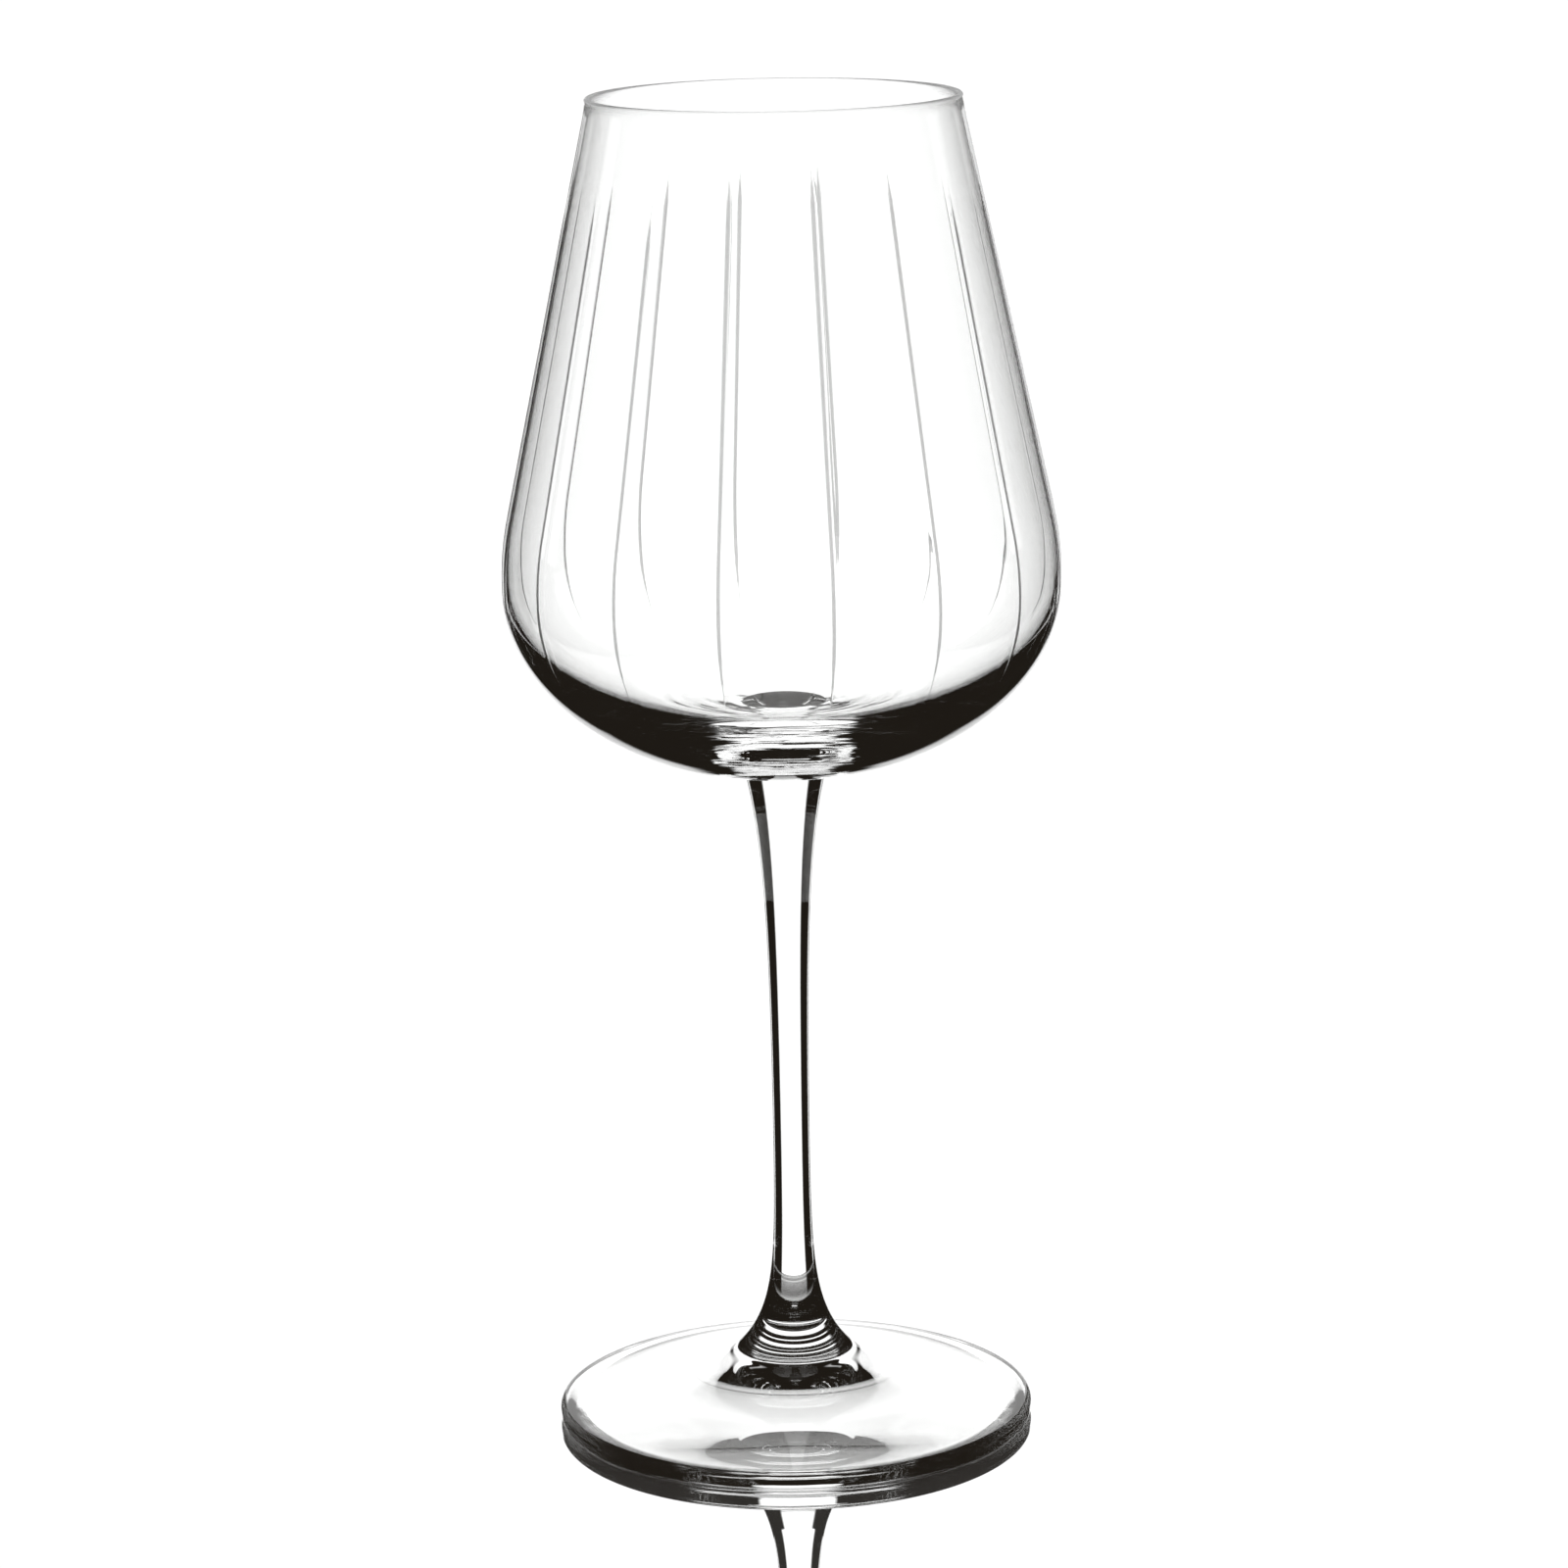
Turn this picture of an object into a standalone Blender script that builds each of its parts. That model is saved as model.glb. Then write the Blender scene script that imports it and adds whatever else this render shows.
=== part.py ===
"""A stemmed wine glass in clear crystal, built as it is made: a blown bowl, a drawn stem and a pressed foot.

Each piece is a profile turned about the Z axis. The glass stands on z = 0, with its axis on the origin.
The pieces of the real glass are fused while hot. Here each joint is a pair of flat faces with a small gap.
"""

import math

import bpy

# Sizes in metres.
FOOT_RADIUS = 0.0403
FOOT_EDGE_HEIGHT = 0.0033
FOOT_EDGE_ROUND = 0.0012
FOOT_HUB_HEIGHT = 0.0117  # table to the joint with the stem
FOOT_FILLET_RISE = 0.0013  # hub above the foot's straight cone, blended out around the stem
REST_RING_WIDTH = 0.0034  # flat ring that stands on the table
FOOT_HOLLOW = 0.0058  # rise of the dished underside at the axis

STEM_LENGTH = 0.1005
STEM_WAIST_RADIUS = 0.0030
STEM_TOP_FLARE = 0.0038  # added to the waist radius at the bowl
STEM_TOP_FLARE_LENGTH = 0.0154
STEM_FOOT_FLARE = 0.0070  # added to the waist radius at the foot
STEM_FOOT_FLARE_LENGTH = 0.0066

BOWL_HEIGHT = 0.1122  # joint with the stem to the rim
BELLY_HEIGHT = 0.0336  # joint with the stem to the widest part
BELLY_RADIUS = 0.0466
SHOULDER_RADIUS = 0.0480  # arc between the belly and the straight side
RIM_RADIUS = 0.0307
RIM_WALL = 0.0011
BELLY_WALL = 0.0014
BASE_THICKNESS = 0.0062  # glass between the joint and the inner floor, without the floor's rise
FLOOR_RISE = 0.0026  # low swelling in the middle of the inner floor
FLOOR_RISE_RADIUS = 0.0112

JOINT_GAP = 0.0003

# Shapes of the lower bowl, where 2 is an ellipse and more is fuller, and of the foot's underside,
# where 1 is a cone and 2 a bowl.
BOWL_FULLNESS = 2.08
INNER_FULLNESS = 2.20
FOOT_DISH_POWER = 1.6

# Fineness of the turned surfaces.
BOWL_STEPS = 64
STEM_STEPS = 40
FOOT_STEPS = 64
LOWER_BOWL_POINTS = 16
SHOULDER_POINTS = 5
RIM_POINTS = 6
STEM_POINTS = 26
FOOT_TOP_POINTS = 12
FOOT_EDGE_POINTS = 4
FOOT_HOLLOW_POINTS = 8
MERGE_DISTANCE = 0.00001

# The finish of clear crystal.
CRYSTAL_COLOUR = (0.97, 0.98, 0.98, 1.0)
CRYSTAL_IOR = 1.52
BOWL_ROUGHNESS = 0.0
STEM_ROUGHNESS = 0.01
FOOT_ROUGHNESS = 0.02


def shares(count):
    """Even steps from just after 0 up to 1."""
    return [step / count for step in range(1, count + 1)]


def arc(centre_radius, centre_height, radius, start, end, count):
    """Points of an arc after its start, as (radius, height). Angles are from the outward direction."""
    angles = [start + (end - start) * share for share in shares(count)]
    return [
        (centre_radius + radius * math.cos(angle), centre_height + radius * math.sin(angle))
        for angle in angles
    ]


def stem_base_height():
    return FOOT_HUB_HEIGHT + JOINT_GAP


def bowl_seat_height():
    """Height of the flat face under the bowl, which sits on the stem."""
    return stem_base_height() + STEM_LENGTH + JOINT_GAP


def stem_radius(height):
    """Radius of the stem at a height above its base: a waist with a flare at each end."""
    top = STEM_TOP_FLARE * math.exp((height - STEM_LENGTH) / STEM_TOP_FLARE_LENGTH)
    foot = STEM_FOOT_FLARE * math.exp(-height / STEM_FOOT_FLARE_LENGTH)
    return STEM_WAIST_RADIUS + top + foot


def shoulder_angle(rim_radius, belly_radius, shoulder_radius):
    """Angle at which the straight side leaves the shoulder's arc, so that it runs on to the rim."""
    across = rim_radius - (belly_radius - shoulder_radius)
    up = BOWL_HEIGHT - BELLY_HEIGHT
    return math.atan2(up, across) - math.acos(shoulder_radius / math.hypot(across, up))


def bowl_side(rim_radius, belly_radius, shoulder_radius):
    """Points from the straight side's foot down to the belly, above the joint with the stem."""
    angle = shoulder_angle(rim_radius, belly_radius, shoulder_radius)
    centre = belly_radius - shoulder_radius
    start = (
        centre + shoulder_radius * math.cos(angle),
        BELLY_HEIGHT + shoulder_radius * math.sin(angle),
    )
    return [start] + arc(centre, BELLY_HEIGHT, shoulder_radius, angle, 0.0, SHOULDER_POINTS)


def lower_bowl(belly_radius, depth, last_radius, fullness):
    """Points below the belly, in to last_radius. The full curve reaches the axis at depth below the belly."""
    last_turn = math.acos((last_radius / belly_radius) ** (fullness / 2))
    points = []
    for share in shares(LOWER_BOWL_POINTS):
        turn = last_turn * share
        radius = belly_radius * math.cos(turn) ** (2 / fullness)
        height = BELLY_HEIGHT - depth * math.sin(turn) ** (2 / fullness)
        points.append((radius, height))
    return points


def inner_floor(inner_belly):
    """Points of the inside below the belly, with the swelling in the middle of the floor."""
    points = lower_bowl(inner_belly, BELLY_HEIGHT - BASE_THICKNESS, 0.0, INNER_FULLNESS)
    points[-1] = (0.0, BASE_THICKNESS)
    return [
        (radius, height + FLOOR_RISE * math.exp(-((radius / FLOOR_RISE_RADIUS) ** 2)))
        for radius, height in points
    ]


def bowl_profile():
    """The bowl from its inner floor, up the inside, over the fire-polished rim and down the outside."""
    seat_radius = stem_radius(STEM_LENGTH)
    seat_share = (seat_radius / BELLY_RADIUS) ** BOWL_FULLNESS
    outer_depth = BELLY_HEIGHT / (1 - seat_share) ** (1 / BOWL_FULLNESS)
    inner_belly = BELLY_RADIUS - BELLY_WALL
    inner_rim = RIM_RADIUS - RIM_WALL
    inner_shoulder = SHOULDER_RADIUS - BELLY_WALL

    inside = bowl_side(inner_rim, inner_belly, inner_shoulder)
    inside += inner_floor(inner_belly)
    rim_round = RIM_WALL / 2
    rim_height = BOWL_HEIGHT - rim_round
    rim = [(inner_rim, rim_height)]
    rim += arc(RIM_RADIUS - rim_round, rim_height, rim_round, math.pi, 0.0, RIM_POINTS)
    outside = bowl_side(RIM_RADIUS, BELLY_RADIUS, SHOULDER_RADIUS)
    outside += lower_bowl(BELLY_RADIUS, outer_depth, seat_radius, BOWL_FULLNESS)
    outside[-1] = (seat_radius, 0.0)
    return inside[::-1] + rim + outside + [(0.0, 0.0)]


def stem_profile():
    """The stem from the middle of its top face, down its side to the middle of its base."""
    heights = [STEM_LENGTH * (1 - share) for share in [0.0] + shares(STEM_POINTS)]
    side = [(stem_radius(height), height) for height in heights]
    return [(0.0, STEM_LENGTH)] + side + [(0.0, 0.0)]


def foot_top():
    """Points of the foot's top face, from the hub out to the edge: the flare eases to a straight cone."""
    hub_radius = stem_radius(0.0)
    edge_radius = FOOT_RADIUS - FOOT_EDGE_ROUND
    span = edge_radius - hub_radius
    cone_fall = (FOOT_HUB_HEIGHT - FOOT_FILLET_RISE - FOOT_EDGE_HEIGHT) / span
    hub_fall = STEM_FOOT_FLARE_LENGTH / STEM_FOOT_FLARE
    fillet_length = FOOT_FILLET_RISE / (hub_fall - cone_fall)
    points = [(hub_radius, FOOT_HUB_HEIGHT)]
    for share in shares(FOOT_TOP_POINTS):
        out = span * share**2
        fillet = FOOT_FILLET_RISE * math.exp(-out / fillet_length)
        points.append((hub_radius + out, FOOT_EDGE_HEIGHT + cone_fall * (span - out) + fillet))
    return points


def foot_profile():
    """The foot from the middle of its hub, out over the edge, and in along its underside."""
    edge_radius = FOOT_RADIUS - FOOT_EDGE_ROUND
    ring_radius = edge_radius - REST_RING_WIDTH
    top_centre = FOOT_EDGE_HEIGHT - FOOT_EDGE_ROUND
    quarter = math.pi / 2
    profile = [(0.0, FOOT_HUB_HEIGHT)] + foot_top()
    profile += arc(edge_radius, top_centre, FOOT_EDGE_ROUND, quarter, 0.0, FOOT_EDGE_POINTS)
    profile += [(FOOT_RADIUS, FOOT_EDGE_ROUND)]
    profile += arc(edge_radius, FOOT_EDGE_ROUND, FOOT_EDGE_ROUND, 0.0, -quarter, FOOT_EDGE_POINTS)
    profile += [(ring_radius, 0.0)]
    for share in shares(FOOT_HOLLOW_POINTS):
        rest = 1 - share
        profile.append((ring_radius * rest, FOOT_HOLLOW * (1 - rest**FOOT_DISH_POWER)))
    return profile


def crystal(name, roughness):
    """A clear glass material."""
    material = bpy.data.materials.new(name)
    material.use_nodes = True
    shader = material.node_tree.nodes["Principled BSDF"]
    shader.inputs["Base Color"].default_value = CRYSTAL_COLOUR
    shader.inputs["Metallic"].default_value = 0.0
    shader.inputs["Roughness"].default_value = roughness
    shader.inputs["IOR"].default_value = CRYSTAL_IOR
    shader.inputs["Transmission Weight"].default_value = 1.0
    return material


def turned_piece(name, profile, base_height, steps, material, collection):
    """An object whose mesh is the profile, turned a full circle about Z by a Screw modifier."""
    mesh = bpy.data.meshes.new(name)
    points = [(radius, 0.0, height) for radius, height in profile]
    edges = [(index, index + 1) for index in range(len(points) - 1)]
    mesh.from_pydata(points, edges, [])
    mesh.materials.append(material)
    piece = bpy.data.objects.new(name, mesh)
    piece.location.z = base_height
    collection.objects.link(piece)
    screw = piece.modifiers.new("Turn", "SCREW")
    screw.axis = "Z"
    screw.angle = math.tau
    screw.steps = steps
    screw.render_steps = steps
    screw.use_merge_vertices = True
    screw.merge_threshold = MERGE_DISTANCE
    screw.use_smooth_shade = True
    return piece


def main():
    for old in list(bpy.data.objects):
        bpy.data.objects.remove(old, do_unlink=True)
    glass = bpy.data.collections.new("wine_glass")
    bpy.context.scene.collection.children.link(glass)
    turned_piece("foot", foot_profile(), 0.0, FOOT_STEPS, crystal("foot_crystal", FOOT_ROUGHNESS), glass)
    turned_piece(
        "stem", stem_profile(), stem_base_height(), STEM_STEPS, crystal("stem_crystal", STEM_ROUGHNESS), glass
    )
    turned_piece(
        "bowl", bowl_profile(), bowl_seat_height(), BOWL_STEPS, crystal("bowl_crystal", BOWL_ROUGHNESS), glass
    )


main()
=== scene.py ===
"""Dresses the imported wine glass: clear crystal with sixteen fine cut lines, in a white studio.

The three pieces are turned again from the sizes of the solids, finely enough to bend light smoothly.
The joints between them let light straight through, because the real glass is fused there.
"""

import logging
import math
from dataclasses import dataclass, field
from enum import Enum

import bmesh
import bpy
from mathutils import Matrix, Vector

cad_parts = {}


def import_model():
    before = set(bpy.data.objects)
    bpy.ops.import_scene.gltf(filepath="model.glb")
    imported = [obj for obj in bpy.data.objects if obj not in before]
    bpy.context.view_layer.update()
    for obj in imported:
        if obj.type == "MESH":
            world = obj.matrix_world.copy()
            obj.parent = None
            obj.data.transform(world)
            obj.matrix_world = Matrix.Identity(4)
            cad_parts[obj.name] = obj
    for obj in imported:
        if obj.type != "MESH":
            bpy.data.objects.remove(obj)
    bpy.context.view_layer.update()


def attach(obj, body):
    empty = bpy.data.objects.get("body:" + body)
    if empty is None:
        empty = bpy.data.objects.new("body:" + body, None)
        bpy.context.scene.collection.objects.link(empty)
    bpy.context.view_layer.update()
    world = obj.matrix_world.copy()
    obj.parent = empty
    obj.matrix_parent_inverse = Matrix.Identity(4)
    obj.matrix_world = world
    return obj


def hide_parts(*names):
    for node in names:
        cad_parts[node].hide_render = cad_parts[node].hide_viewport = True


log = logging.getLogger("wine_glass")

Point = tuple[float, float]
Value = bpy.types.NodeSocket | float | int | str | tuple
Flags = tuple[tuple[float, float], ...]

BODY = "root"
AXIS_RADIUS = 1e-7
SHARP_ANGLE = math.radians(20)
RIPPLE_DETAIL = 1.0
RIPPLE_BREAKUP = 0.35
FILM_DETAIL = 6.0
FILM_BREAKUP = 0.65


class Region(Enum):
    """What a stretch of a turned outline is, which decides how it is finished."""

    INSIDE = "inside"
    OUTSIDE = "outside"
    LIP = "lip"
    JOINT = "joint"


class GlassPiece(Enum):
    """The pieces of the glass, by the names of their solids."""

    BOWL = "bowl"
    STEM = "stem"
    FOOT = "foot"

    @property
    def slot(self) -> str:
        """The name of the material slot for this piece."""
        return f"{self.value}_crystal"


@dataclass(frozen=True)
class Stretch:
    """Points of a turned outline, as (radius, height), that share one region."""

    region: Region
    points: list[Point]


class NodeBench:
    """A node tree under construction."""

    def __init__(self, tree: bpy.types.NodeTree) -> None:
        """Starts work on a tree.

        Args:
            tree: The tree that gets the nodes.
        """
        self.tree = tree

    def add(self, kind: str, **settings: object) -> bpy.types.Node:
        """Adds a node.

        Args:
            kind: Blender's name for the type of node.
            settings: Properties to set on it.

        Returns:
            The new node.
        """
        node = self.tree.nodes.new(kind)
        for name, value in settings.items():
            setattr(node, name, value)
        return node

    def feed(self, socket: bpy.types.NodeSocket, value: Value) -> None:
        """Links an input to another node's output, or sets its value.

        Args:
            socket: The input.
            value: An output socket, or a plain value.
        """
        if isinstance(value, bpy.types.NodeSocket):
            self.tree.links.new(value, socket)
        else:
            socket.default_value = value

    def math(self, operation: str, *values: Value) -> bpy.types.NodeSocket:
        """Adds a Math node.

        Args:
            operation: Blender's name for the operation.
            values: Its operands.

        Returns:
            The result's socket.
        """
        node = self.add("ShaderNodeMath", operation=operation)
        for socket, value in zip(node.inputs, values):
            self.feed(socket, value)
        return node.outputs[0]

    def all_of(self, first: Value, *others: Value) -> Value:
        """Adds the product of masks.

        Args:
            first: The first mask.
            others: The masks that it is multiplied by.

        Returns:
            The product's socket.
        """
        for other in others:
            first = self.math("MULTIPLY", first, other)
        return first

    def any_of(self, first: Value, *others: Value) -> Value:
        """Adds the largest of masks.

        Args:
            first: The first mask.
            others: The masks that it is compared with.

        Returns:
            The largest one's socket.
        """
        for other in others:
            first = self.math("MAXIMUM", first, other)
        return first

    def inverse(self, mask: Value) -> bpy.types.NodeSocket:
        """Adds one minus a mask."""
        return self.math("SUBTRACT", 1.0, mask)

    def across(self, x: Value, y: Value) -> bpy.types.NodeSocket:
        """Adds the distance of a place from the axis."""
        squares = [self.math("MULTIPLY", value, value) for value in (x, y)]
        return self.math("POWER", self.math("ADD", *squares), 0.5)

    def ramp(
        self, value: Value, start: Value, end: Value, low: float = 0.0, high: float = 1.0
    ) -> bpy.types.NodeSocket:
        """Adds a smooth step between two values.

        Args:
            value: What is measured.
            start: Where the step starts.
            end: Where it ends.
            low: The result before the start.
            high: The result after the end.

        Returns:
            The result's socket.
        """
        node = self.add("ShaderNodeMapRange", interpolation_type="SMOOTHSTEP")
        given = {"Value": value, "From Min": start, "From Max": end, "To Min": low, "To Max": high}
        for name, wanted in given.items():
            self.feed(node.inputs[name], wanted)
        return node.outputs["Result"]


def shares(count: int) -> list[float]:
    """Even steps from 0 to 1, both ends included.

    Args:
        count: How many steps.

    Returns:
        The steps, one more than count.
    """
    return [step / count for step in range(count + 1)]


def arc(centre: Point, radius: float, start: float, end: float, count: int) -> list[Point]:
    """Points of an arc.

    Args:
        centre: Its centre, as (radius, height).
        radius: Its own radius.
        start: Angle of the first point, from the outward direction.
        end: Angle of the last point.
        count: How many steps it takes.

    Returns:
        The points, as (radius, height).
    """
    angles = [start + (end - start) * share for share in shares(count)]
    return [
        (centre[0] + radius * math.cos(angle), centre[1] + radius * math.sin(angle)) for angle in angles
    ]


def turned_mesh(name: str, outline: list[Stretch], angles: list[float]) -> bpy.types.Mesh:
    """Turns an outline about the Z axis into a closed mesh with its faces outwards.

    Args:
        name: The mesh's name.
        outline: Stretches from the axis round to the axis, each starting where the last one ended.
        angles: Where the columns of points stand around the axis.

    Returns:
        The mesh, with outside and lip attributes on its points and a joint attribute on its faces.
    """
    points = [outline[0].points[0]]
    regions: list[Region] = []
    for stretch in outline:
        points += stretch.points[1:]
        regions += [stretch.region] * (len(stretch.points) - 1)

    vertices: list[tuple[float, float, float]] = []
    rings: list[list[int]] = []
    outside: list[float] = []
    lip: list[float] = []
    for index, (radius, height) in enumerate(points):
        columns = [0.0] if radius < AXIS_RADIUS else angles
        rings.append(list(range(len(vertices), len(vertices) + len(columns))))
        vertices += [(radius * math.cos(angle), radius * math.sin(angle), height) for angle in columns]
        region = regions[min(index, len(regions) - 1)]
        outside += [float(region is Region.OUTSIDE)] * len(columns)
        lip += [float(region is Region.LIP)] * len(columns)

    faces: list[list[int]] = []
    joints: list[bool] = []
    for ring, lower, region in zip(rings, rings[1:], regions):
        for column in range(len(angles)):
            corners = [ring[column % len(ring)], lower[column % len(lower)]]
            corners += [lower[(column + 1) % len(lower)], ring[(column + 1) % len(ring)]]
            faces.append(list(dict.fromkeys(corners)))
            joints.append(region is Region.JOINT)

    mesh = bpy.data.meshes.new(name)
    mesh.from_pydata(vertices, [], faces)
    work = bmesh.new()
    work.from_mesh(mesh)
    bmesh.ops.recalc_face_normals(work, faces=work.faces)
    work.to_mesh(mesh)
    work.free()
    mesh.attributes.new("outside", "FLOAT", "POINT").data.foreach_set("value", outside)
    mesh.attributes.new("lip", "FLOAT", "POINT").data.foreach_set("value", lip)
    mesh.attributes.new("joint", "BOOLEAN", "FACE").data.foreach_set("value", joints)
    mesh.shade_smooth()
    mesh.set_sharp_from_angle(angle=SHARP_ANGLE)
    return mesh


def even_columns(count: int) -> list[float]:
    """Angles of evenly spread columns around the axis."""
    return [math.tau * column / count for column in range(count)]


def ripple_group() -> bpy.types.NodeTree:
    """Builds the soft rings that working the hot glass leaves in its surface.

    Returns:
        A shader group from a place on the glass to the height of the ripple, from 0 to 1.
    """
    group = bpy.data.node_groups.new("hot_worked_ripple", "ShaderNodeTree")
    group.interface.new_socket("Place", in_out="INPUT", socket_type="NodeSocketVector")
    group.interface.new_socket("Rings per Metre", in_out="INPUT", socket_type="NodeSocketFloat")
    group.interface.new_socket("Breaks per Ring", in_out="INPUT", socket_type="NodeSocketFloat")
    group.interface.new_socket("Height", in_out="OUTPUT", socket_type="NodeSocketFloat")
    bench = NodeBench(group)
    given = bench.add("NodeGroupInput").outputs
    place = bench.add("ShaderNodeSeparateXYZ")
    bench.feed(place.inputs[0], given["Place"])
    x, y, height = place.outputs
    turn = bench.math("ARCTAN2", y, x)
    breaks, rings = given["Breaks per Ring"], given["Rings per Metre"]
    round_the_axis = bench.add("ShaderNodeCombineXYZ")
    bench.feed(round_the_axis.inputs["X"], bench.math("MULTIPLY", bench.math("COSINE", turn), breaks))
    bench.feed(round_the_axis.inputs["Y"], bench.math("MULTIPLY", bench.math("SINE", turn), breaks))
    bench.feed(round_the_axis.inputs["Z"], bench.math("MULTIPLY", height, rings))
    noise = bench.add("ShaderNodeTexNoise", noise_dimensions="4D")
    bench.feed(noise.inputs["Vector"], round_the_axis.outputs[0])
    bench.feed(noise.inputs["W"], bench.math("MULTIPLY", bench.across(x, y), rings))
    bench.feed(noise.inputs["Scale"], 1.0)
    bench.feed(noise.inputs["Detail"], RIPPLE_DETAIL)
    bench.feed(noise.inputs["Roughness"], RIPPLE_BREAKUP)
    bench.feed(bench.add("NodeGroupOutput").inputs["Height"], noise.outputs["Fac"])
    return group


def handling_group() -> bpy.types.NodeTree:
    """Builds the faint, broken film that handling and polishing leave on clear glass.

    Returns:
        A shader group from a place on the glass to a mask, 0 where it is clean.
    """
    group = bpy.data.node_groups.new("handling_film", "ShaderNodeTree")
    group.interface.new_socket("Place", in_out="INPUT", socket_type="NodeSocketVector")
    group.interface.new_socket("Patches per Metre", in_out="INPUT", socket_type="NodeSocketFloat")
    group.interface.new_socket("Clean Share", in_out="INPUT", socket_type="NodeSocketFloat")
    group.interface.new_socket("Film", in_out="OUTPUT", socket_type="NodeSocketFloat")
    bench = NodeBench(group)
    given = bench.add("NodeGroupInput").outputs
    noise = bench.add("ShaderNodeTexNoise")
    bench.feed(noise.inputs["Vector"], given["Place"])
    bench.feed(noise.inputs["Scale"], given["Patches per Metre"])
    bench.feed(noise.inputs["Detail"], FILM_DETAIL)
    bench.feed(noise.inputs["Roughness"], FILM_BREAKUP)
    film = bench.ramp(noise.outputs["Fac"], given["Clean Share"], 1.0)
    bench.feed(bench.add("NodeGroupOutput").inputs["Film"], film)
    return group


@dataclass(frozen=True)
class CrystalFinish:
    """Clear crystal: its tint, its polish, the ripple left by working it hot, and painted grey shade on its
    cut lines.
    """

    name: str
    clear: tuple[float, float, float, float] = (0.992, 0.995, 0.992, 1.0)
    filmed: tuple[float, float, float, float] = (0.965, 0.968, 0.962, 1.0)
    # Painted shade: the grey of the cut lines stands in for the dark studio that their ground surface
    # scatters.
    cut: tuple[float, float, float, float] = (0.30, 0.30, 0.30, 1.0)
    refraction: float = 1.52
    film_roughness: float = 0.03
    ground_roughness: float = 0.42
    lip_roughness: float = 0.35
    clean_share: float = 0.62
    patches_per_metre: float = 90.0
    rings_per_metre: float = 260.0
    breaks_per_ring: float = 1.2
    ripple_height: float = 0.000006
    ripple_top: float = 0.132
    ripple_fade: float = 0.012

    def material(self, ripple: bpy.types.NodeTree, handling: bpy.types.NodeTree) -> bpy.types.Material:
        """Makes the finish.

        Args:
            ripple: The group of soft rings.
            handling: The group of handling film.

        Returns:
            The material.
        """
        material = bpy.data.materials.new(self.name)
        material.use_nodes = True
        bench = NodeBench(material.node_tree)
        shader = material.node_tree.nodes["Principled BSDF"]
        bench.feed(shader.inputs["IOR"], self.refraction)
        bench.feed(shader.inputs["Transmission Weight"], 1.0)
        place = bench.add("ShaderNodeTexCoord").outputs["Object"]

        film = bench.add("ShaderNodeGroup", node_tree=handling)
        bench.feed(film.inputs["Place"], place)
        bench.feed(film.inputs["Patches per Metre"], self.patches_per_metre)
        bench.feed(film.inputs["Clean Share"], self.clean_share)
        tint = bench.add("ShaderNodeMix", data_type="RGBA")
        bench.feed(tint.inputs["Factor"], film.outputs["Film"])
        bench.feed(tint.inputs["A"], self.clear)
        bench.feed(tint.inputs["B"], self.filmed)
        # Painted shade: where the glass is ground, the base colour turns grey, in place of the dark studio
        # that the satin lines scatter.
        ground = bench.add("ShaderNodeAttribute", attribute_name="ground").outputs["Fac"]
        satin_and_shade = bench.add("ShaderNodeMix", data_type="RGBA")
        bench.feed(satin_and_shade.inputs["Factor"], ground)
        bench.feed(satin_and_shade.inputs["A"], tint.outputs["Result"])
        bench.feed(satin_and_shade.inputs["B"], self.cut)
        bench.feed(shader.inputs["Base Color"], satin_and_shade.outputs["Result"])

        hazy = bench.math("MULTIPLY", film.outputs["Film"], self.film_roughness)
        cut = bench.math("MULTIPLY", ground, self.ground_roughness)
        lip = bench.add("ShaderNodeAttribute", attribute_name="lip").outputs["Fac"]
        soft = bench.math("MAXIMUM", hazy, bench.math("MULTIPLY", lip, self.lip_roughness))
        bench.feed(shader.inputs["Roughness"], bench.math("MAXIMUM", cut, soft))

        rings = bench.add("ShaderNodeGroup", node_tree=ripple)
        bench.feed(rings.inputs["Place"], place)
        bench.feed(rings.inputs["Rings per Metre"], self.rings_per_metre)
        bench.feed(rings.inputs["Breaks per Ring"], self.breaks_per_ring)
        height = bench.add("ShaderNodeSeparateXYZ")
        bench.feed(height.inputs[0], place)
        low = bench.ramp(height.outputs["Z"], self.ripple_top, self.ripple_top + self.ripple_fade, 1.0, 0.0)
        bump = bench.add("ShaderNodeBump")
        bench.feed(bump.inputs["Distance"], self.ripple_height)
        bench.feed(bump.inputs["Height"], bench.math("MULTIPLY", rings.outputs["Height"], low))
        bench.feed(shader.inputs["Normal"], bump.outputs["Normal"])
        return material


@dataclass(frozen=True)
class FusedJoint:
    """The seam between two gathers of glass, which light crosses without bending."""

    name: str = "fused_joint"

    def material(self) -> bpy.types.Material:
        """Makes the seam's clear material.

        Returns:
            The material.
        """
        material = bpy.data.materials.new(self.name)
        material.use_nodes = True
        shader = material.node_tree.nodes["Principled BSDF"]
        shader.inputs["Base Color"].default_value = (1.0, 1.0, 1.0, 1.0)
        shader.inputs["Alpha"].default_value = 0.0
        return material


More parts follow.
